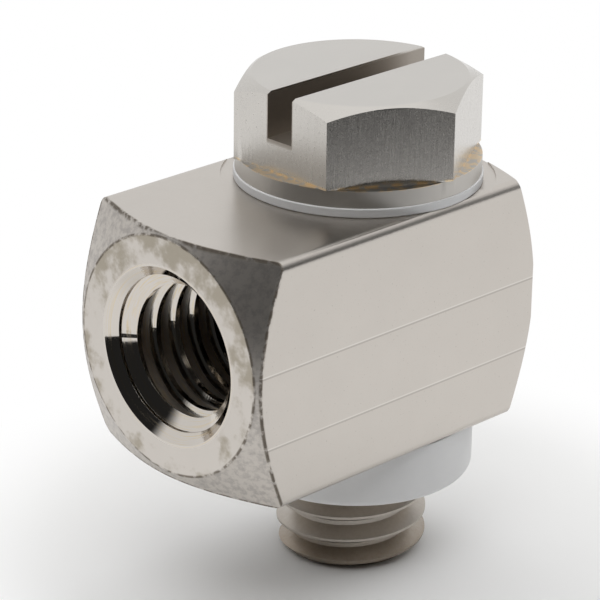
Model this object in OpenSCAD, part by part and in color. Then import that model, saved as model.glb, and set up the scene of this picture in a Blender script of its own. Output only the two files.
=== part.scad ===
// Miniature swivel elbow: a square bar with a female port in one end turns on a hollow,
// slotted hexagon screw, which ends in a male thread under it. Two plastic gaskets seal it.
// The origin is on the screw's axis, at the underside of the lower gasket, where the elbow
// seals on what it is screwed into. +Z runs up the screw, and the port opens towards -Y.

/* [Bar] */
// Width and height of the square bar
bar_w = 8; // [7.5:0.1:9]
// Radius of the bar's four long edges
bar_edge_r = 0.3; // [0.1:0.05:0.6]
// Distance from the screw's axis to the port's face
port_reach = 8.2; // [7.5:0.1:10]
// Distance from the screw's axis to the closed end
back_reach = 4; // [3.7:0.1:6]
// Radius of the flat ring round the port
port_face_r = 3.8; // [3.2:0.05:4.2]
// Radius of the flat disc on the closed end
back_face_r = 4.1; // [3.2:0.05:4.5]
// Slope of the cone turned on the port's end, from its face
port_cone_angle = 30; // [15:1:40]
// Slope of the cone turned on the closed end, from its face
back_cone_angle = 30; // [15:1:40]
// Height of the port's axis above the middle of the bar
port_rise = 0.1; // [0:0.05:0.3]

/* [Spot faces] */
// Radius of the spot faces that the gaskets seat on
spot_r = 4.35; // [4:0.05:4.6]
// Depth of the spot faces in the bar
spot_depth = 0.05; // [0.03:0.01:0.15]

/* [Port] */
// Radius of the countersink at the port's face
port_countersink_r = 2.83; // [2.6:0.01:3.1]
// Depth of the countersink
port_countersink_depth = 0.3; // [0.1:0.05:0.4]
// Radius of the relief in front of the thread, and of the thread's roots
port_root_r = 2.5; // [2.4:0.01:2.58]
// Distance from the port's face to the end of that relief
port_relief_depth = 0.55; // [0.45:0.05:0.8]
// Radius of the thread's crests
port_crest_r = 2.07; // [1.9:0.01:2.2]
// Wall between the end of the port's thread and the screw's bore
port_end_wall = 0.7; // [0.6:0.05:1.2]
// Radius of the throat between the port and the screw's bore
throat_r = 1.3; // [1:0.05:1.5]

/* [Screw] */
// Radius of the screw's shank and of its thread's crests
shank_r = 2.45; // [2.4:0.01:2.6]
// Length of the male thread below the lower gasket
thread_len = 3; // [2:0.1:5]
// Radius of the flat end of the thread
thread_end_r = 2.1; // [1.7:0.05:2.2]
// Slope of the chamfer on the end of the thread, from the screw's axis
thread_chamfer_angle = 45; // [30:1:60]
// Radius of the undercut above the male thread
undercut_r = 2.05; // [1.9:0.05:2.2]
// Length of that undercut
undercut_len = 0.9; // [0.5:0.05:1]
// Height of that undercut above the underside of the lower gasket
undercut_z = 0.5; // [0.3:0.05:0.6]
// Radius of the waist that lets the flow round the shank
waist_r = 1.9; // [1.75:0.05:2.1]
// Length of the waist
waist_len = 3.6; // [3.1:0.1:4]
// Radius of the passage up the middle of the screw
passage_r = 1.25; // [0.9:0.05:1.4]
// Distance that the passage's full bore runs past the cross-holes
passage_past_holes = 0.15; // [0.1:0.05:0.5]
// Radius of the holes drilled across the waist
cross_hole_r = 0.8; // [0.5:0.05:1]

/* [Head] */
// Radius of the round collar under the hexagon
collar_r = 3.9; // [3.7:0.05:4.2]
// Height of the collar
collar_h = 0.55; // [0.4:0.05:1]
// Chamfer on the collar's two edges
collar_chamfer = 0.05; // [0.02:0.01:0.1]
// Width of the hexagon across its flats
hex_af = 7; // [6.6:0.1:8]
// Height of the hexagon
hex_h = 2.55; // [2.2:0.05:4]
// Radius of the flat top of the hexagon
hex_top_r = 3.4; // [3:0.05:3.6]
// Slope of the cone that chamfers the top corners, from the top
hex_top_angle = 30; // [15:1:40]
// Radius at which the bottom corners begin to lift off the collar
hex_foot_r = 3.6; // [3.4:0.05:3.65]
// Slope of that lift, from the collar
hex_foot_angle = 15; // [5:1:25]
// Width of the screwdriver slot
slot_w = 1.05; // [0.8:0.05:1.4]
// Depth of the screwdriver slot
slot_depth = 1.5; // [1:0.05:1.9]

/* [Gaskets] */
// Outer radius of the upper gasket
upper_gasket_r = 3.95; // [3.6:0.05:3.98]
// Thickness of the upper gasket
upper_gasket_t = 0.3; // [0.2:0.05:0.8]
// Outer radius of the lower gasket
lower_gasket_r = 3.9; // [3.5:0.05:3.98]
// Thickness of the lower gasket
lower_gasket_t = 1.9; // [1.6:0.05:3]
// Radius of the lower gasket's rounded bottom edge
lower_gasket_edge_r = 0.25; // [0.1:0.05:0.5]

/* [Clearances] */
// Radial gap between the shank and the bar's bore
shank_gap = 0.05; // [0.02:0.01:0.1]
// Radial gap between the shank and each gasket
gasket_gap = 0.1; // [0.05:0.01:0.2]

/* [Hidden] */
$fn = 96;

// How far a cutting shape runs past the face that it cuts
over = 1;
// Point angle of a twist drill
drill_point = 118;
// Flank angle of the thread, from the plane across its axis
flank_angle = 30;
// How far the hexagon is rooted in the collar
head_root = 0.2;

// Heights along the screw
bar_bottom = lower_gasket_t - spot_depth;
bar_top = bar_bottom + bar_w;
upper_seat = bar_top - spot_depth;
collar_z = upper_seat + upper_gasket_t;
hex_z = collar_z + collar_h;
head_top = hex_z + hex_h;
port_z = bar_bottom + bar_w / 2 + port_rise;

// Radii that follow from the fits
bore_r = shank_r + shank_gap;
gasket_bore_r = shank_r + gasket_gap;
hex_corner_r = hex_af / 2 / cos(30);
// Radius of a turning profile that clears the bar's corners
swing_r = bar_w / sqrt(2) + over;

// Places along the port, with the face at the lowest y
port_face_y = -port_reach;
back_face_y = back_reach;
port_floor_y = -(bore_r + port_end_wall);

// Bar stock: a square with rounded corners, drawn about its own middle
module bar_section() {
    straight = bar_w - 2 * bar_edge_r;
    square([bar_w, straight], center = true);
    square([straight, bar_w], center = true);
    for (side = [-1, 1], rise = [-1, 1])
        translate([side * straight / 2, rise * straight / 2])
            circle(r = bar_edge_r);
}

// The stock runs past both end faces, which the turning profile then cuts
module bar_stock() {
    translate([0, back_face_y + over, bar_bottom + bar_w / 2])
        rotate([90, 0, 0])
            linear_extrude(height = back_face_y - port_face_y + 2 * over)
                bar_section();
}

// A revolved shape round the port's axis, with its profile given as [radius, y]
module about_port(profile) {
    translate([0, 0, port_z])
        rotate([-90, 0, 0])
            rotate_extrude()
                polygon(profile);
}

// Both ends of the bar, as the lathe leaves them: a flat face inside a shallow cone
module turned_ends() {
    about_port([
        [0, port_face_y],
        [port_face_r, port_face_y],
        [swing_r, port_face_y + (swing_r - port_face_r) * tan(port_cone_angle)],
        [swing_r, back_face_y - (swing_r - back_face_r) * tan(back_cone_angle)],
        [back_face_r, back_face_y],
        [0, back_face_y]
    ]);
}

// Countersink, relief, thread bore at the crests, drill point and throat
module port() {
    countersink_spread = (port_countersink_r - port_root_r) / port_countersink_depth;
    flank_len = (port_root_r - port_crest_r) * tan(flank_angle);
    point_len = (port_crest_r - throat_r) / tan(drill_point / 2);
    about_port([
        [0, port_face_y - over],
        [port_countersink_r + over * countersink_spread, port_face_y - over],
        [port_root_r, port_face_y + port_countersink_depth],
        [port_root_r, port_face_y + port_relief_depth],
        [port_crest_r, port_face_y + port_relief_depth + flank_len],
        [port_crest_r, port_floor_y],
        [throat_r, port_floor_y + point_len],
        [throat_r, 0],
        [0, 0]
    ]);
}

// Bore for the screw, and a spot face for the gasket at each end of it
module screw_bore() {
    translate([0, 0, bar_bottom - over])
        cylinder(r = bore_r, h = bar_w + 2 * over);
    translate([0, 0, upper_seat])
        cylinder(r = spot_r, h = spot_depth + over);
    translate([0, 0, bar_bottom - over])
        cylinder(r = spot_r, h = spot_depth + over);
}

module elbow_body() {
    color("silver")
        difference() {
            intersection() {
                bar_stock();
                turned_ends();
            }
            port();
            screw_bore();
        }
}

// The hexagon: a prism cut by a turning profile that chamfers its top and bottom corners
module hexagon() {
    corner_clear_r = hex_corner_r + over;
    intersection() {
        translate([0, 0, hex_z - head_root])
            cylinder(r = hex_corner_r, h = hex_h + head_root, $fn = 6);
        rotate_extrude()
            polygon([
                [0, hex_z - head_root],
                [hex_foot_r, hex_z - head_root],
                [hex_foot_r, hex_z],
                [corner_clear_r, hex_z + (corner_clear_r - hex_foot_r) * tan(hex_foot_angle)],
                [corner_clear_r, head_top - (corner_clear_r - hex_top_r) * tan(hex_top_angle)],
                [hex_top_r, head_top],
                [0, head_top]
            ]);
    }
}

// Everything that is turned: thread, undercut, shank, waist and collar, from the bottom up
module turned_screw() {
    thread_chamfer_len = (shank_r - thread_end_r) / tan(thread_chamfer_angle);
    undercut_lead = shank_r - undercut_r;
    waist_lead = shank_r - waist_r;
    rotate_extrude()
        polygon([
            [0, -thread_len],
            [thread_end_r, -thread_len],
            [shank_r, thread_chamfer_len - thread_len],
            [shank_r, undercut_z - undercut_lead],
            [undercut_r, undercut_z],
            [undercut_r, undercut_z + undercut_len],
            [shank_r, undercut_z + undercut_len],
            [shank_r, port_z - waist_len / 2],
            [waist_r, port_z - waist_len / 2 + waist_lead],
            [waist_r, port_z + waist_len / 2 - waist_lead],
            [shank_r, port_z + waist_len / 2],
            [shank_r, collar_z],
            [collar_r - collar_chamfer, collar_z],
            [collar_r, collar_z + collar_chamfer],
            [collar_r, hex_z - collar_chamfer],
            [collar_r - collar_chamfer, hex_z],
            [0, hex_z]
        ]);
}

// Slot for a screwdriver, in line with the bar as it is shown
module driver_slot() {
    slot_len = 2 * (hex_corner_r + over);
    translate([-slot_w / 2, -slot_len / 2, head_top - slot_depth])
        cube([slot_w, slot_len, slot_depth + over]);
}

// Passage up from the thread's end, and two holes drilled across it through the waist
module flow_passage() {
    passage_top = port_z + cross_hole_r + passage_past_holes;
    cross_hole_len = 2 * (waist_r + over);
    rotate_extrude()
        polygon([
            [0, -thread_len - over],
            [passage_r, -thread_len - over],
            [passage_r, passage_top],
            [0, passage_top + passage_r / tan(drill_point / 2)]
        ]);
    for (turn = [0, 90])
        translate([0, 0, port_z])
            rotate([90, 0, turn])
                cylinder(r = cross_hole_r, h = cross_hole_len, center = true);
}

module hollow_screw() {
    color("lightgray")
        difference() {
            union() {
                turned_screw();
                hexagon();
            }
            driver_slot();
            flow_passage();
        }
}

// Thin gasket between the bar's upper spot face and the screw's collar
module upper_gasket() {
    color("whitesmoke")
        translate([0, 0, upper_seat])
            difference() {
                cylinder(r = upper_gasket_r, h = upper_gasket_t);
                translate([0, 0, -over])
                    cylinder(r = gasket_bore_r, h = upper_gasket_t + 2 * over);
            }
}

// Thick gasket under the bar, with its bottom edge rounded
module lower_gasket() {
    edge_x = lower_gasket_r - lower_gasket_edge_r;
    color("whitesmoke")
        rotate_extrude() {
            translate([gasket_bore_r, 0])
                square([edge_x - gasket_bore_r, lower_gasket_t]);
            translate([gasket_bore_r, lower_gasket_edge_r])
                square([lower_gasket_r - gasket_bore_r, lower_gasket_t - lower_gasket_edge_r]);
            translate([edge_x, lower_gasket_edge_r])
                circle(r = lower_gasket_edge_r);
        }
}

elbow_body();
hollow_screw();
upper_gasket();
lower_gasket();
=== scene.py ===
# %% [markdown]
# A miniature swivel elbow fitting, about 16 mm tall: a square nickel-plated bar with a female port
# in one end, a hollow slotted hexagon screw through it, and two milky plastic gaskets. The packed
# CAD part is loaded first, because its box, its bodies and its nodes are the frame that everything
# here is built round.

# %% Load the part
import math

import bmesh
import bpy
from mathutils import Matrix, Vector


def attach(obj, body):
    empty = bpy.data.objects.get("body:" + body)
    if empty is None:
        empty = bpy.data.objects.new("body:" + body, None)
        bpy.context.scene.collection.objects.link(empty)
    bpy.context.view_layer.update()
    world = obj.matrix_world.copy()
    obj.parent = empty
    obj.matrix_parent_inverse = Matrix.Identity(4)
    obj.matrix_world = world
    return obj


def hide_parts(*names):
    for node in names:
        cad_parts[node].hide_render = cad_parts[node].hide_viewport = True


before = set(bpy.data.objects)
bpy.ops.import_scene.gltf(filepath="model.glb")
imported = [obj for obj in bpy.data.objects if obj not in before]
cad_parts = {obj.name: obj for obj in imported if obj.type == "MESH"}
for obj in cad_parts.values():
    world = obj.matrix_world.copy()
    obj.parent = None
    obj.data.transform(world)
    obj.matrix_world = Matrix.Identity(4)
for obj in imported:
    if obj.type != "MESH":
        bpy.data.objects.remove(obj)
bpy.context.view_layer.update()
scene = bpy.context.scene

# %% [markdown]
# A part this small is easiest to think of in millimetres, as on its drawing, and Blender's bevels
# and cuts also behave better on numbers near one than near a thousandth. So each mesh is built in
# millimetres about the same origin as the CAD, and is scaled to metres when it is finished.

# %% Sizes from the drawing, in millimetres
MM = 0.001
BAR = 8.0
BAR_EDGE = 0.3
BAR_BOTTOM = 1.85
BAR_TOP = BAR_BOTTOM + BAR
FRONT_Y = -8.2
BACK_Y = 4.0
FRONT_RING = 3.8
BACK_DISC = 4.1
END_SLOPE = math.tan(math.radians(30))
PORT_Z = 5.95
PORT_MOUTH = 2.83
BORE = 2.5
CORE = 2.07
SPOT = 4.35
SPOT_DEPTH = 0.05
PITCH = 0.8
FLANK = math.tan(math.radians(30))
FLOOR_Z = -3.0
UPPER_SEAT = BAR_TOP - SPOT_DEPTH
COLLAR_Z = UPPER_SEAT + 0.3
HEX_Z = COLLAR_Z + 0.55
HEAD_TOP = HEX_Z + 2.55
COLLAR = 3.9
GASKET = 3.95
GASKET_BORE = 2.55
SHANK = 2.45
print("bar from", BAR_BOTTOM, "to", BAR_TOP, "mm, head top at", round(HEAD_TOP, 2), "mm")

# %% [markdown]
# The camera stands where the photographer's did: the photograph's edges were solved for its place,
# its aim, a slight roll and its long lens. Aiming by a target point keeps the numbers readable,
# and the roll is a turn about the camera's own axis after that.

# %% Camera
camera_data = bpy.data.cameras.new("photo_camera")
camera_data.lens = 182.75
camera_data.sensor_width = 36
camera_data.clip_start = 0.005
camera_data.clip_end = 5
camera = bpy.data.objects.new("photo_camera", camera_data)
scene.collection.objects.link(camera)
camera_place = Vector((62.664, -65.327, 42.347)) * MM
camera_target = Vector((-1.2546, -1.2516, 5.4988)) * MM
aim = (camera_target - camera_place).to_track_quat("-Z", "Y").to_matrix().to_4x4()
camera_roll = Matrix.Rotation(math.radians(0.826), 4, "Z")
camera.matrix_world = Matrix.Translation(camera_place) @ aim @ camera_roll
scene.camera = camera
scene.view_settings.view_transform = "Standard"
print("camera right:", [round(v, 4) for v in camera.matrix_world.col[0][:3]])


# %% [markdown]
# The pieces of this fitting were turned, milled and tapped, so the mesh tools follow the workshop.
# A profile is spun about an axis, as on a lathe. Every spun shape is closed, and its doubled seam
# and poles are merged before its faces are turned outwards, because a spin can leave them inside
# out. A profile is only as long as its corners need.

# %% Lathe
def piece_from(mesh_edit, name):
    """Turns an edited mesh into an object of the scene, still in millimetres."""
    bmesh.ops.remove_doubles(mesh_edit, verts=mesh_edit.verts, dist=1e-5)
    bmesh.ops.recalc_face_normals(mesh_edit, faces=mesh_edit.faces)
    mesh = bpy.data.meshes.new(name)
    mesh_edit.to_mesh(mesh)
    mesh_edit.free()
    piece = bpy.data.objects.new(name, mesh)
    scene.collection.objects.link(piece)
    return piece


def profile_edges(mesh_edit, profile, closed=False):
    """Draws a chain of edges through (radius, height) points, in the XZ plane."""
    verts = [mesh_edit.verts.new((radius, 0, height)) for radius, height in profile]
    pairs = list(zip(verts, verts[1:]))
    if closed:
        pairs.append((verts[-1], verts[0]))
    return verts + [mesh_edit.edges.new(pair) for pair in pairs]


def turned(name, profile, steps=192, closed=False):
    """Spins a profile once round the Z axis."""
    mesh_edit = bmesh.new()
    chain = profile_edges(mesh_edit, profile, closed)
    bmesh.ops.spin(mesh_edit, geom=chain, cent=(0, 0, 0), axis=(0, 0, 1), dvec=(0, 0, 0),
                   angle=math.tau, steps=steps, use_merge=True)
    return piece_from(mesh_edit, name)


def plug(name, radius, low, high, steps=192):
    """A plain cylinder between two heights."""
    return turned(name, [(0, low), (radius, low), (radius, high), (0, high)], steps)


# %% [markdown]
# A screw thread could be a bump, but its turns show in outline against the floor and as bright
# and dark stripes down the port, so here it is a real form. The same spin makes it: with a rise of
# one pitch in each turn, and a profile of several teeth one above the other, each tooth's end
# meets the start of the next one. Both ends are then cut flat and closed, which leaves a solid
# threaded rod. It is a male thread when it is kept, and a tap when it is cut out of something.

# %% Thread
def threaded_rod(name, tooth, turns, low, high, start, steps=128):
    """A solid right-hand thread from one height to another, from the profile of one tooth."""
    mesh_edit = bmesh.new()
    profile = [(radius, start + height + turn * PITCH)
               for turn in range(turns) for radius, height in tooth]
    chain = profile_edges(mesh_edit, profile)
    bmesh.ops.spin(mesh_edit, geom=chain, cent=(0, 0, 0), axis=(0, 0, 1),
                   dvec=(0, 0, PITCH / steps), angle=math.tau, steps=steps)
    bmesh.ops.remove_doubles(mesh_edit, verts=mesh_edit.verts, dist=1e-4)
    for height, direction in ((low, -1), (high, 1)):
        everything = mesh_edit.verts[:] + mesh_edit.edges[:] + mesh_edit.faces[:]
        bmesh.ops.bisect_plane(mesh_edit, geom=everything, dist=1e-6, plane_co=(0, 0, height),
                               plane_no=(0, 0, direction), clear_outer=True)
    bmesh.ops.holes_fill(mesh_edit, edges=[e for e in mesh_edit.edges if e.is_boundary])
    return piece_from(mesh_edit, name)


def tooth_between(root, crest, land):
    """One tooth's profile: up its lower flank, across its flat crest and back down."""
    flank = (crest - root) * FLANK
    return [(root, 0), (crest, flank), (crest, flank + land), (root, 2 * flank + land)]


# %% [markdown]
# Milling and drilling are Booleans. The exact solver is slower than the fast one, but it copes
# with faces that lie on each other, and this part is small. Each cut is applied at once, so the
# next one starts from a plain mesh, and the cutter is thrown away.

# %% Cut, join and keep
def settle(piece):
    """Makes what the piece's modifiers do part of its mesh."""
    before = piece.data
    settled = piece.evaluated_get(bpy.context.evaluated_depsgraph_get())
    piece.data = bpy.data.meshes.new_from_object(settled)
    piece.modifiers.clear()
    bpy.data.meshes.remove(before)


def combine(piece, tool, how):
    """Cuts the tool from the piece, joins it to it, or keeps what both share."""
    cut = piece.modifiers.new("cut", "BOOLEAN")
    cut.operation = how
    cut.solver = "EXACT"
    cut.object = tool
    settle(piece)
    tool_mesh = tool.data
    bpy.data.objects.remove(tool)
    bpy.data.meshes.remove(tool_mesh)


def place(piece, matrix):
    """Moves a tool's mesh, and leaves its object at the origin."""
    piece.data.transform(matrix)
    return piece


def block(name, size, middle):
    """A box with its size and middle."""
    mesh_edit = bmesh.new()
    bmesh.ops.create_cube(mesh_edit, size=1)
    bmesh.ops.scale(mesh_edit, verts=mesh_edit.verts, vec=size)
    bmesh.ops.translate(mesh_edit, verts=mesh_edit.verts, vec=middle)
    return piece_from(mesh_edit, name)


# %% [markdown]
# No edge of a real part is perfectly sharp: tumbling and plating leave a tiny radius, which
# catches the light as a thin bright line, and a render without it looks false. A Bevel modifier
# limited by angle finds these edges by itself after all the cuts. Its hardened normals keep the
# flat faces flat, so that only the edge bends the light.

# %% Round the edges and hand over
def soften(piece, width, segments=3, angle=30):
    """Rounds each sharp edge a little."""
    mesh_edit = bmesh.new()
    mesh_edit.from_mesh(piece.data)
    bmesh.ops.remove_doubles(mesh_edit, verts=mesh_edit.verts, dist=0.004)
    bmesh.ops.dissolve_degenerate(mesh_edit, edges=mesh_edit.edges, dist=0.004)
    mesh_edit.to_mesh(piece.data)
    mesh_edit.free()
    edge = piece.modifiers.new("edge", "BEVEL")
    edge.width = width
    edge.segments = segments
    edge.limit_method = "ANGLE"
    edge.angle_limit = math.radians(angle)
    edge.use_clamp_overlap = True
    edge.harden_normals = True
    edge.miter_outer = "MITER_ARC"
    for face in piece.data.polygons:
        face.use_smooth = True
    settle(piece)


def piece_box(piece):
    """The lowest and highest corner of a piece's mesh."""
    corners = [vert.co for vert in piece.data.vertices]
    return ([min(c[i] for c in corners) for i in range(3)],
            [max(c[i] for c in corners) for i in range(3)])


def finish(piece, material, body, node):
    """Scales a piece to metres and hands it to the frame in place of its CAD node."""
    piece.data.materials.clear()
    piece.data.materials.append(material)
    piece.data.transform(Matrix.Scale(MM, 4))
    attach(piece, body)
    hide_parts(node)
    triangles = sum(len(face.vertices) - 2 for face in piece.data.polygons)
    low, high = [[round(v / MM, 2) for v in corner] for corner in piece_box(piece)]
    print(piece.name, "has", triangles, "triangles, from", low, "to", high, "mm")


# %% [markdown]
# The elbow starts as a length of square bar with softly drawn long edges. A subdivided cube could
# round them, but it would pull the flat sides in too. Bevelling only the four long edges keeps the
# sides flat, and eight segments make the radius look drawn.

# %% Bar stock
bar_edit = bmesh.new()
bmesh.ops.create_cube(bar_edit, size=1)
bmesh.ops.scale(bar_edit, verts=bar_edit.verts, vec=(BAR, BACK_Y - FRONT_Y + 2, BAR))
bmesh.ops.translate(bar_edit, verts=bar_edit.verts,
                    vec=(0, (BACK_Y + FRONT_Y) / 2, BAR_BOTTOM + BAR / 2))
long_edges = [edge for edge in bar_edit.edges
              if abs(edge.verts[0].co.y - edge.verts[1].co.y) > 1]
bmesh.ops.bevel(bar_edit, geom=long_edges, offset=BAR_EDGE, affect="EDGES", segments=8,
                profile=0.5, material=-1)
elbow = piece_from(bar_edit, "nickel_elbow")
print("bar stock:", len(elbow.data.polygons), "faces")

# %% [markdown]
# Both ends are faced on a lathe: a flat ring, then a shallow cone, which leaves each flat side
# with a curved, almost circular end. Drawing those curves would be guesswork. Keeping the bar only
# inside one spun form gives them by themselves, as the lathe does.

# %% Turned ends
SWING = 6.5
TO_PORT = Matrix.Translation((0, 0, PORT_Z)) @ Matrix.Rotation(math.radians(-90), 4, "X")
turned_form = turned("turned_form", [
    (0, FRONT_Y),
    (FRONT_RING, FRONT_Y),
    (SWING, FRONT_Y + (SWING - FRONT_RING) * END_SLOPE),
    (SWING, BACK_Y - (SWING - BACK_DISC) * END_SLOPE),
    (BACK_DISC, BACK_Y),
    (0, BACK_Y)], steps=256)
combine(elbow, place(turned_form, TO_PORT), "INTERSECT")
print("turned blank:", len(elbow.data.polygons), "faces")

# %% [markdown]
# The bar is bored through for the screw, and a shallow spot face at each end of the bore gives the
# gaskets a flat seat. The port is drilled in steps: a countersink, a short relief, the thread's
# core with a drill's point, and a throat into the bore. The edges are rounded before the thread is
# cut, because a bevel would eat the thread's fine crests.

# %% Bores, spot faces and port
combine(elbow, plug("bore", BORE, 0, BAR_TOP + 1), "DIFFERENCE")
combine(elbow, plug("upper_spot", SPOT, UPPER_SEAT, BAR_TOP + 1), "DIFFERENCE")
combine(elbow, plug("lower_spot", SPOT, 0, BAR_BOTTOM + SPOT_DEPTH), "DIFFERENCE")

COUNTERSINK_DEPTH = 0.3
RELIEF_END = 0.41
THROAT = 1.3
THREAD_END_Y = -3.2
countersink_spread = (PORT_MOUTH - BORE) / COUNTERSINK_DEPTH
first_flank_y = FRONT_Y + RELIEF_END + (BORE - CORE) * FLANK
point_length = (CORE - THROAT) / math.tan(math.radians(59))
port_drill = turned("port_drill", [
    (0, FRONT_Y - 1),
    (PORT_MOUTH + countersink_spread, FRONT_Y - 1),
    (BORE, FRONT_Y + COUNTERSINK_DEPTH),
    (BORE, FRONT_Y + RELIEF_END),
    (CORE, first_flank_y),
    (CORE, THREAD_END_Y),
    (THROAT, THREAD_END_Y + point_length),
    (THROAT, 0),
    (0, 0)])
combine(elbow, place(port_drill, TO_PORT), "DIFFERENCE")
soften(elbow, 0.04)

tap_tooth = tooth_between(1.98, 2.52, PITCH / 8)
tap = threaded_rod("tap", tap_tooth, 10, FRONT_Y + RELIEF_END, THREAD_END_Y - 0.1, FRONT_Y - 2)
combine(elbow, place(tap, TO_PORT), "DIFFERENCE")
print("elbow:", len(elbow.data.polygons), "faces")

# %% [markdown]
# The screw's head is a six-sided prism, made by pushing a circle of six points upwards. A spun
# form with a 30 degree cone on top then cuts its corners: where the cone meets the flats, it
# leaves the round arcs that every hexagon head has. A box cuts the driver's slot.

# %% Hexagon head
HEX_FLATS = 7.0
HEX_TOP = 3.4
HEX_ROOT = 0.2
CLEAR = 5.0
SLOT_W = 1.05
SLOT_DEPTH = 1.5
head = bmesh.new()
bmesh.ops.create_circle(head, cap_ends=True, segments=6,
                        radius=HEX_FLATS / 2 / math.cos(math.pi / 6))
bmesh.ops.rotate(head, verts=head.verts, cent=(0, 0, 0),
                 matrix=Matrix.Rotation(math.radians(30), 3, "Z"))
pushed = bmesh.ops.extrude_face_region(head, geom=head.faces[:])["geom"]
bmesh.ops.translate(head, verts=[v for v in pushed if isinstance(v, bmesh.types.BMVert)],
                    vec=(0, 0, HEAD_TOP - HEX_Z + HEX_ROOT))
bmesh.ops.translate(head, verts=head.verts, vec=(0, 0, HEX_Z - HEX_ROOT))
screw = piece_from(head, "slotted_screw")
head_form = turned("head_form", [
    (0, HEX_Z - HEX_ROOT),
    (HEX_FLATS / 2, HEX_Z - HEX_ROOT),
    (HEX_FLATS / 2, HEX_Z),
    (CLEAR, HEX_Z),
    (CLEAR, HEAD_TOP - (CLEAR - HEX_TOP) * END_SLOPE),
    (HEX_TOP, HEAD_TOP),
    (0, HEAD_TOP)])
combine(screw, head_form, "INTERSECT")
slot = block("slot", (SLOT_W, 10, 2 * SLOT_DEPTH), (0, 0, HEAD_TOP))
combine(screw, slot, "DIFFERENCE")
print("head:", len(screw.data.polygons), "faces")

# %% [markdown]
# Below the head the screw is one turned bar: collar, shank, a waist that lets the air round it,
# the shank again and an undercut above the thread. Its profile is spun and joined to the head, and
# the edges are rounded. Only then come the fine thread, its worn end, the passage up the middle
# and the holes across the waist.

# %% Shank, collar, thread and passages
UNDERCUT = 2.05
WAIST = 1.9
WAIST_HALF = 1.8
shank = turned("shank", [
    (0, 0.5),
    (UNDERCUT, 0.5),
    (UNDERCUT, 1.4),
    (SHANK, 1.4),
    (SHANK, PORT_Z - WAIST_HALF),
    (WAIST, PORT_Z - WAIST_HALF + SHANK - WAIST),
    (WAIST, PORT_Z + WAIST_HALF - SHANK + WAIST),
    (SHANK, PORT_Z + WAIST_HALF),
    (SHANK, COLLAR_Z),
    (COLLAR, COLLAR_Z),
    (COLLAR, HEX_Z),
    (0, HEX_Z)])
combine(screw, shank, "UNION")
soften(screw, 0.05)

rod = threaded_rod("rod", tooth_between(1.95, 2.47, 0.06), 8, -3.2, 0.7, -4.5)
end_form = turned("end_form", [
    (0, FLOOR_Z),
    (1.95, FLOOR_Z),
    (2.2, -2.93),
    (2.38, -2.76),
    (SHANK, -2.5),
    (SHANK, 0.1),
    (UNDERCUT, 0.5),
    (WAIST, 0.6),
    (0, 0.6)])
combine(rod, end_form, "INTERSECT")
combine(screw, rod, "UNION")

PASSAGE = 1.25
CROSS_HOLE = 0.8
passage_top = PORT_Z + CROSS_HOLE + 0.15
combine(screw, turned("passage", [
    (0, FLOOR_Z - 1),
    (PASSAGE, FLOOR_Z - 1),
    (PASSAGE, passage_top),
    (0, passage_top + PASSAGE / math.tan(math.radians(59)))], steps=96), "DIFFERENCE")
for axis in "XY":
    across = (Matrix.Translation((0, 0, PORT_Z))
              @ Matrix.Rotation(math.radians(90), 4, axis))
    cross_hole = place(plug("cross_hole", CROSS_HOLE, -3, 3, steps=64), across)
    combine(screw, cross_hole, "DIFFERENCE")
print("screw:", len(screw.data.polygons), "faces")

# %% [markdown]
# The gaskets are rings cut from milky plastic. A closed profile spun once gives a ring with its
# bore. The thick one has a soft, moulded lower edge, drawn as a quarter circle in a few points.

# %% Gaskets
upper = turned("thin_gasket", [
    (GASKET_BORE, UPPER_SEAT), (GASKET, UPPER_SEAT),
    (GASKET, COLLAR_Z), (GASKET_BORE, COLLAR_Z)], closed=True)
soften(upper, 0.05)

LOWER_EDGE = 0.25
lower_top = BAR_BOTTOM + SPOT_DEPTH
rounded = [(COLLAR - LOWER_EDGE + LOWER_EDGE * math.sin(math.radians(turn)),
            LOWER_EDGE - LOWER_EDGE * math.cos(math.radians(turn)))
           for turn in range(0, 91, 15)]
lower = turned("thick_gasket", [(GASKET_BORE, 0), *rounded, (COLLAR, lower_top),
                                (GASKET_BORE, lower_top)], closed=True)
soften(lower, 0.03)
print("gaskets:", len(upper.data.polygons), "and", len(lower.data.polygons), "faces")


# %% [markdown]
# Materials here are sums and products of masks and noise, and as boxes and wires they are hard to
# read. One small class wraps a socket, so that Python's own signs add the Math nodes: 1 - mask is
# a Subtract node. Colours go through Mix nodes instead, because a Math node would turn them grey.

# %% Shader sheet: sockets as numbers
class Wire:
    """A socket of the shader being drawn, which takes part in sums and products."""

    tree = None

    def __init__(self, socket):
        self.socket = socket

    @classmethod
    def node(cls, kind, settings=None, inputs=None, out=0):
        """Adds any node: its settings are set first, then its sockets are fed."""
        made = cls.tree.nodes.new(kind)
        for name, value in (settings or {}).items():
            setattr(made, name, value)
        for key, value in (inputs or {}).items():
            cls.feed(made.inputs[key], value)
        return cls(made.outputs[out]) if made.outputs else None

    @classmethod
    def feed(cls, socket, value):
        if isinstance(value, cls):
            cls.tree.links.new(value.socket, socket)
        else:
            socket.default_value = value

    @classmethod
    def maths(cls, operation, *values, clamp=False):
        return cls.node("ShaderNodeMath", {"operation": operation, "use_clamp": clamp},
                        dict(enumerate(values)))

    def __add__(self, other):
        return self.maths("ADD", self, other)

    def __radd__(self, other):
        return self.maths("ADD", other, self)

    def __sub__(self, other):
        return self.maths("SUBTRACT", self, other)

    def __rsub__(self, other):
        return self.maths("SUBTRACT", other, self)

    def __mul__(self, other):
        return self.maths("MULTIPLY", self, other)

    def __rmul__(self, other):
        return self.maths("MULTIPLY", other, self)

    def __pow__(self, other):
        return self.maths("POWER", self, other)

    def __abs__(self):
        return self.maths("ABSOLUTE", self)


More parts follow.
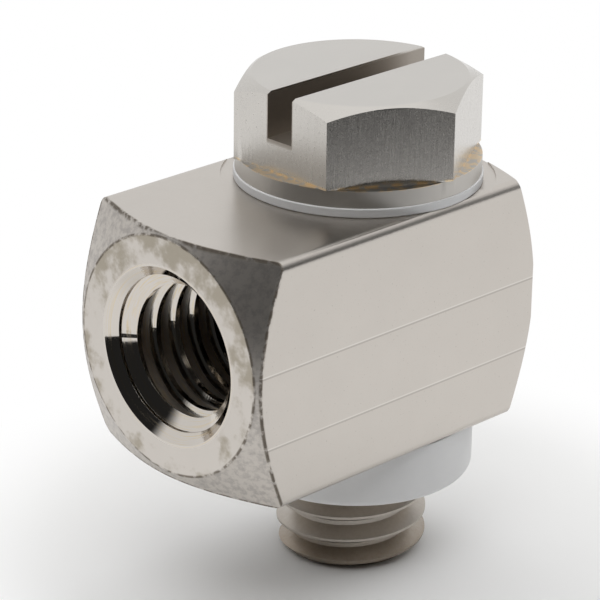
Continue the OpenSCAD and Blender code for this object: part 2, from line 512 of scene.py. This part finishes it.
# %% [markdown]
# Most of what a material needs is a question of place: how near is this point to an edge, a
# radius or a height. step answers it with a soft ramp, band with a soft stripe, and noise breaks
# it up, so that no boundary looks ruled.

# %% Masks, noise and colours
def step(value, low, high):
    """0 below low, 1 above high, with a soft ramp between them. low may be the larger."""
    if low > high:
        return 1 - step(value, high, low)
    return Wire.node("ShaderNodeMapRange", {"interpolation_type": "SMOOTHSTEP"},
                     {0: value, 1: float(low), 2: float(high)})


def band(value, middle, half, soft):
    """1 within half of the middle, fading out over soft."""
    return step(abs(value - middle), half + soft, half)


def larger(a, b):
    return Wire.maths("MAXIMUM", a, b)


def colour(red, green, blue):
    return (red, green, blue, 1)


def mix(factor, colour_a, colour_b):
    return Wire.node("ShaderNodeMix", {"data_type": "RGBA", "clamp_factor": True},
                     {0: factor, 6: colour_a, 7: colour_b}, out=2)


def join(a, b, c):
    """Three numbers as one vector."""
    return Wire.node("ShaderNodeCombineXYZ", None, {0: a, 1: b, 2: c})


def noise(where, scale, detail=2.0, rough=0.5, stretch=(1, 1, 1)):
    """Noise with about one spot in each 1/scale mm, longer along an axis whose stretch is small."""
    placed = Wire.node("ShaderNodeMapping", None, {"Vector": where, "Scale": stretch})
    return Wire.node("ShaderNodeTexNoise", {"noise_dimensions": "3D"},
                     {"Vector": placed, "Scale": float(scale), "Detail": float(detail),
                      "Roughness": float(rough)})


def start_material(name):
    """A new material, with its millimetre coordinates and their three parts."""
    material = bpy.data.materials.new(name)
    material.use_nodes = True
    Wire.tree = material.node_tree
    Wire.tree.nodes.clear()
    here = Wire.node("ShaderNodeTexCoord", out="Object")
    mm = Wire.node("ShaderNodeMapping", None, {"Vector": here, "Scale": (1000, 1000, 1000)})
    split = Wire.node("ShaderNodeSeparateXYZ", None, {0: mm})
    return material, mm, [Wire(socket) for socket in split.socket.node.outputs]


def end_material(material, base, metallic, rough, relief, relief_mm):
    """Feeds a Principled shader and ends the material."""
    bump = Wire.node("ShaderNodeBump", None, {
        "Strength": 1.0, "Distance": relief_mm * MM, "Height": relief})
    shader = Wire.node("ShaderNodeBsdfPrincipled", None, {
        "Base Color": base, "Metallic": metallic, "Roughness": rough, "Normal": bump})
    Wire.node("ShaderNodeOutputMaterial", None, {"Surface": shader})
    print(material.name, "has", len(Wire.tree.nodes), "nodes")
    return material


# %% [markdown]
# The elbow's nickel is satin where the bar was drawn and brushed, and almost a mirror inside the
# port, where the tap and the countersink cut it. The masks find the sides, the top, the turned
# ring and cone and the port by their distance from the port's axis and from the front face. On the
# cone, the depth behind the front face grows with the radius, so the difference of the two is zero
# there and nowhere else.

# %% Elbow's nickel: where each surface is
nickel, mm, (x, y, z) = start_material("elbow_nickel")
radius = (x ** 2 + (z - PORT_Z) ** 2) ** 0.5
depth = y - FRONT_Y
off_cone = abs(depth - (radius - FRONT_RING) * END_SLOPE)
on_side = step(abs(x), BAR / 2 - 0.09, BAR / 2 - 0.03)
on_top = step(z, UPPER_SEAT - 0.1, UPPER_SEAT)
on_flats = larger(on_side, larger(on_top, step(z, BAR_BOTTOM + 0.09, BAR_BOTTOM + 0.03)))
in_port = step(radius, PORT_MOUTH + 0.1, PORT_MOUTH + 0.02) * step(depth, -0.1, 0.02)
on_ring = step(radius, FRONT_RING + 0.04, FRONT_RING - 0.04) * step(depth, 0.06, 0.02)
on_ring = on_ring * (1 - in_port)
on_cone = step(off_cone, 0.05, 0.02) * step(radius, FRONT_RING, FRONT_RING + 0.05)
in_thread = in_port * step(depth, 0.72, 0.8)
in_root = in_thread * step(radius, 2.2, 2.32)

# %% [markdown]
# Age shows on the plating. A yellow-brown tarnish lies on the turned ring, most of it towards its
# outer edge, and dirt sits in thin broken lines along the sharp edges between ring, cone and
# sides. The cone is mottled grey, and inside the port the brass glows through on fine turning
# lines. The lines come from noise that is read by radius and depth alone, so they run round.

# %% Elbow's nickel: colour
cloud = noise(mm, 0.6, 3)
mottle = noise(mm, 4.5, 4, 0.65)
speck = step(noise(mm, 15, 2, 0.6), 0.66, 0.74)
lathe_lines = noise(join(radius, depth, x * 0.02), 26, 2, 0.7)
base = mix(cloud, colour(0.585, 0.548, 0.505), colour(0.625, 0.585, 0.54))
base = mix(on_side * speck * 0.5, base, colour(0.30, 0.27, 0.24))
base = mix(on_cone * step(mottle, 0.40, 0.66) * 0.55, base, colour(0.36, 0.335, 0.32))
stain = on_ring * step(noise(mm, 1.3, 4, 0.6) + 0.16 * (radius - 3.2) + 0.03 * (z - PORT_Z),
                       0.47, 0.70)
base = mix(stain * 0.75, base, colour(0.37, 0.325, 0.25))
dirt = step(noise(mm, 3.2, 3, 0.6), 0.36, 0.56)
ring_line = band(radius, FRONT_RING + 0.01, 0.015, 0.05) * step(depth, 0.16, 0.08)
corner_line = step(off_cone, 0.09, 0.02) * on_flats * step(radius, 3.86, 3.96)
edge_dirt = larger(ring_line, corner_line) * dirt
base = mix(edge_dirt * 0.7, base, colour(0.13, 0.10, 0.065))
brass_lines = in_port * step(lathe_lines, 0.50, 0.66)
base = mix(brass_lines * 0.55, base, colour(0.66, 0.53, 0.32))

# %% [markdown]
# Two faint scribed lines run along each side of the bar, where it was guided through a tool. Their
# light is painted into the colour: a painted highlight along each line, with a painted shadow just
# under it. They are only hundredths of a millimetre wide, so they stay in the material.

# %% Elbow's nickel: scribed lines as painted highlight and shadow, roughness and relief
SCRIBE_HEIGHTS = (6.43, 4.05)
# each scribed line gets a painted highlight along it and a painted shadow just under it
scribe_highlight = [on_side * band(z, height, 0.012, 0.02) for height in SCRIBE_HEIGHTS]
scribe_shade = [on_side * band(z, height - 0.05, 0.015, 0.025) for height in SCRIBE_HEIGHTS]
# the painted shadow under each scribed line, then the painted highlight along it
base = mix(0.5 * (scribe_shade[0] + scribe_shade[1]), base, colour(0.34, 0.31, 0.28))
base = mix(0.5 * (scribe_highlight[0] + scribe_highlight[1]), base, colour(0.80, 0.77, 0.73))
grain = noise(mm, 9, 3, 0.6)
side_brush = noise(mm, 14, 3, 0.65, (1, 1, 0.3))
top_streak = noise(mm, 11, 4, 0.7, (1, 0.07, 1))
rough_satin = 0.25 + 0.12 * grain + 0.16 * on_cone + 0.25 * edge_dirt + 0.12 * stain
rough_port = 0.05 + 0.30 * in_root + 0.10 * brass_lines
rough = rough_satin * (1 - in_port) + rough_port * in_port
relief = (0.8 * side_brush * on_side + 2.2 * top_streak * on_top + 0.8 * grain
          + 0.7 * mottle * on_cone) * (1 - in_port) + 0.55 * lathe_lines * in_port
nickel = end_material(nickel, base, 1.0, rough, relief, 0.002)

# %% [markdown]
# The screw has the same plating on another surface. Its flats were milled from drawn bar, so they
# carry upright scratches, which tear the reflections into fine vertical lines and leave a few
# bright flecks. The slot is rough from its saw, and its colour is darkened as painted shade in the
# recess. The collar is matt from facing. Along the bottom edge of the flats a bright brass band is
# painted: partly brass where the plating has worn through, partly a painted glint on that edge.
# The thread is painted darker and browner, and darker still towards its end by the floor, where
# that darkening is painted shade.

# %% Screw's nickel
bright, mm, (x, y, z) = start_material("screw_nickel")
radius = (x ** 2 + y ** 2) ** 0.5
on_collar = band(z, (COLLAR_Z + HEX_Z) / 2, 0.26, 0.03)
in_slot = (step(abs(x), SLOT_W / 2 + 0.06, SLOT_W / 2) * step(z, HEAD_TOP - 1.7, HEAD_TOP - 1.55)
           * step(z, HEAD_TOP - 0.02, HEAD_TOP - 0.1))
on_flank = (step(z, HEX_Z, HEX_Z + 0.05) * step(z, HEAD_TOP - 0.02, HEAD_TOP - 0.12)
            * (1 - in_slot))
on_thread = step(z, 0.5, 0.1)
thread_end = step(z, -1.6, -2.9)
striae = noise(mm, 15, 4, 0.75, (1, 1, 0.05))
fleck = step(noise(mm, 13, 3, 0.7), 0.63, 0.70)
grain = noise(mm, 7, 4, 0.7)
# a bright brass band along the bottom edge of the flats: partly brass through worn plating, partly
# a painted glint on that edge
foot_brass_and_glint = band(z, HEX_Z + 0.03, 0.03, 0.04) * step(radius, 3.45, 3.5)
foot_brass_and_glint = foot_brass_and_glint * step(noise(mm, 3.5, 3), 0.42, 0.56)
base = mix(noise(mm, 0.8, 2), colour(0.585, 0.562, 0.53), colour(0.625, 0.60, 0.565))
# darker brown colour in the slot: painted shade in the recess
base = mix(in_slot * 0.65, base, colour(0.33, 0.28, 0.23))
base = mix(foot_brass_and_glint * 0.8, base, colour(0.86, 0.68, 0.45))
# the thread painted darker and browner, darker still towards its end by the floor, where that
# darkening is painted shade
thread_tint_and_shade = on_thread * (0.45 + 0.4 * thread_end + 0.35 * (grain - 0.5))
base = mix(thread_tint_and_shade, base, colour(0.27, 0.215, 0.16))
rough = (0.17 + 0.08 * grain + 0.22 * on_flank * fleck + 0.10 * on_flank * striae
         + 0.30 * on_collar + 0.22 * in_slot + 0.12 * on_thread + 0.08 * thread_end)
relief = 1.3 * striae * on_flank + 0.25 * grain + 0.5 * in_slot * grain + 0.4 * grain * thread_end
bright = end_material(bright, base, 1.0, rough, relief, 0.003)

# %% [markdown]
# The gaskets are milky, slightly bluish plastic, matt from the mould. Their colour hardly changes,
# so nearly all of their look is the soft roughness and a faint unevenness of the surface.

# %% Milky plastic
milky, mm, (x, y, z) = start_material("milky_plastic")
haze = noise(mm, 1.2, 2)
base = mix(haze, colour(0.80, 0.80, 0.805), colour(0.86, 0.86, 0.86))
milky = end_material(milky, base, 0.0, 0.42 + 0.1 * haze, noise(mm, 6, 2), 0.001)

# %% Hand the pieces over
finish(elbow, nickel, "elbow", "elbow_body")
finish(screw, bright, "screw", "hollow_screw")
finish(upper, milky, "screw", "upper_gasket")
finish(lower, milky, "screw", "lower_gasket")

# %% [markdown]
# Metal shows its room more than its own colour. This room was read back from the reflections: it
# is bright behind and above the part, dark in front of it up to about half way to the zenith, with
# one brighter soft light high in front, which draws the thin lines along the upper edges. The
# world is that room as a few soft masks of direction. The camera itself sees plain white.

# %% Studio world
world = bpy.data.worlds.new("studio")
scene.world = world
world.use_nodes = True
Wire.tree = world.node_tree
Wire.tree.nodes.clear()
direction = Wire.node("ShaderNodeTexCoord", out="Generated")
split = Wire.node("ShaderNodeSeparateXYZ", None, {0: direction})
x, y, z = [Wire(socket) for socket in split.socket.node.outputs]
front = 0.692 * x - 0.722 * y
side = 0.722 * x + 0.692 * y
back = step(front + 0.13 * side, 0.12, -0.14)
top = step(z, 0.70, 0.82)
softbox = step(0.377 * x - 0.393 * y + 0.839 * z, 0.955, 0.975)
light = 0.02 + larger(0.86 * back, 1.02 * top) + 1.3 * softbox
light_path = Wire.node("ShaderNodeLightPath").socket.node
is_camera = Wire(light_path.outputs["Is Camera Ray"])
is_diffuse = Wire(light_path.outputs["Is Diffuse Ray"])
strength = is_camera + light * (1 + 0.3 * is_diffuse) * (1 - is_camera)
shade = Wire.node("ShaderNodeBackground", None, {"Color": colour(1, 1, 1), "Strength": strength})
Wire.node("ShaderNodeOutputWorld", None, {"Surface": shade})
print("world has", len(Wire.tree.nodes), "nodes")

# %% [markdown]
# The part stands on white paper, which ends some way in front of it: the reflections in the port
# turn from white to black there. Near the part the paper is lit, and keeps the shadow. Further
# out it blends into plain white for the camera and for reflections, so it meets the background
# without an edge.

# %% Paper floor
PAPER_EDGE = 32
PAPER_HALF = 400
floor_edit = bmesh.new()
bmesh.ops.create_grid(floor_edit, x_segments=1, y_segments=1, size=PAPER_HALF)
bmesh.ops.translate(floor_edit, verts=floor_edit.verts, vec=(0, PAPER_HALF - PAPER_EDGE, FLOOR_Z))
bmesh.ops.rotate(floor_edit, verts=floor_edit.verts, cent=(0, 0, 0),
                 matrix=Matrix.Rotation(math.radians(43.8), 3, "Z"))
floor = piece_from(floor_edit, "floor")
floor.data.transform(Matrix.Scale(MM, 4))
paper, mm, (x, y, z) = start_material("white_paper")
far = step((x ** 2 + y ** 2) ** 0.5, 9.0, 15.0)
light_path = Wire.node("ShaderNodeLightPath").socket.node
is_camera = Wire(light_path.outputs["Is Camera Ray"])
is_glossy = Wire(light_path.outputs["Is Glossy Ray"])
lit = Wire.node("ShaderNodeBsdfDiffuse", None, {"Color": colour(0.95, 0.95, 0.945)})
glow = Wire.node("ShaderNodeEmission", None, {"Color": colour(1, 1, 1), "Strength": 1.0})
blend = Wire.node("ShaderNodeMixShader", None, {0: far * (is_camera + is_glossy), 1: lit, 2: glow})
Wire.node("ShaderNodeOutputMaterial", None, {"Surface": blend})
floor.data.materials.append(paper)
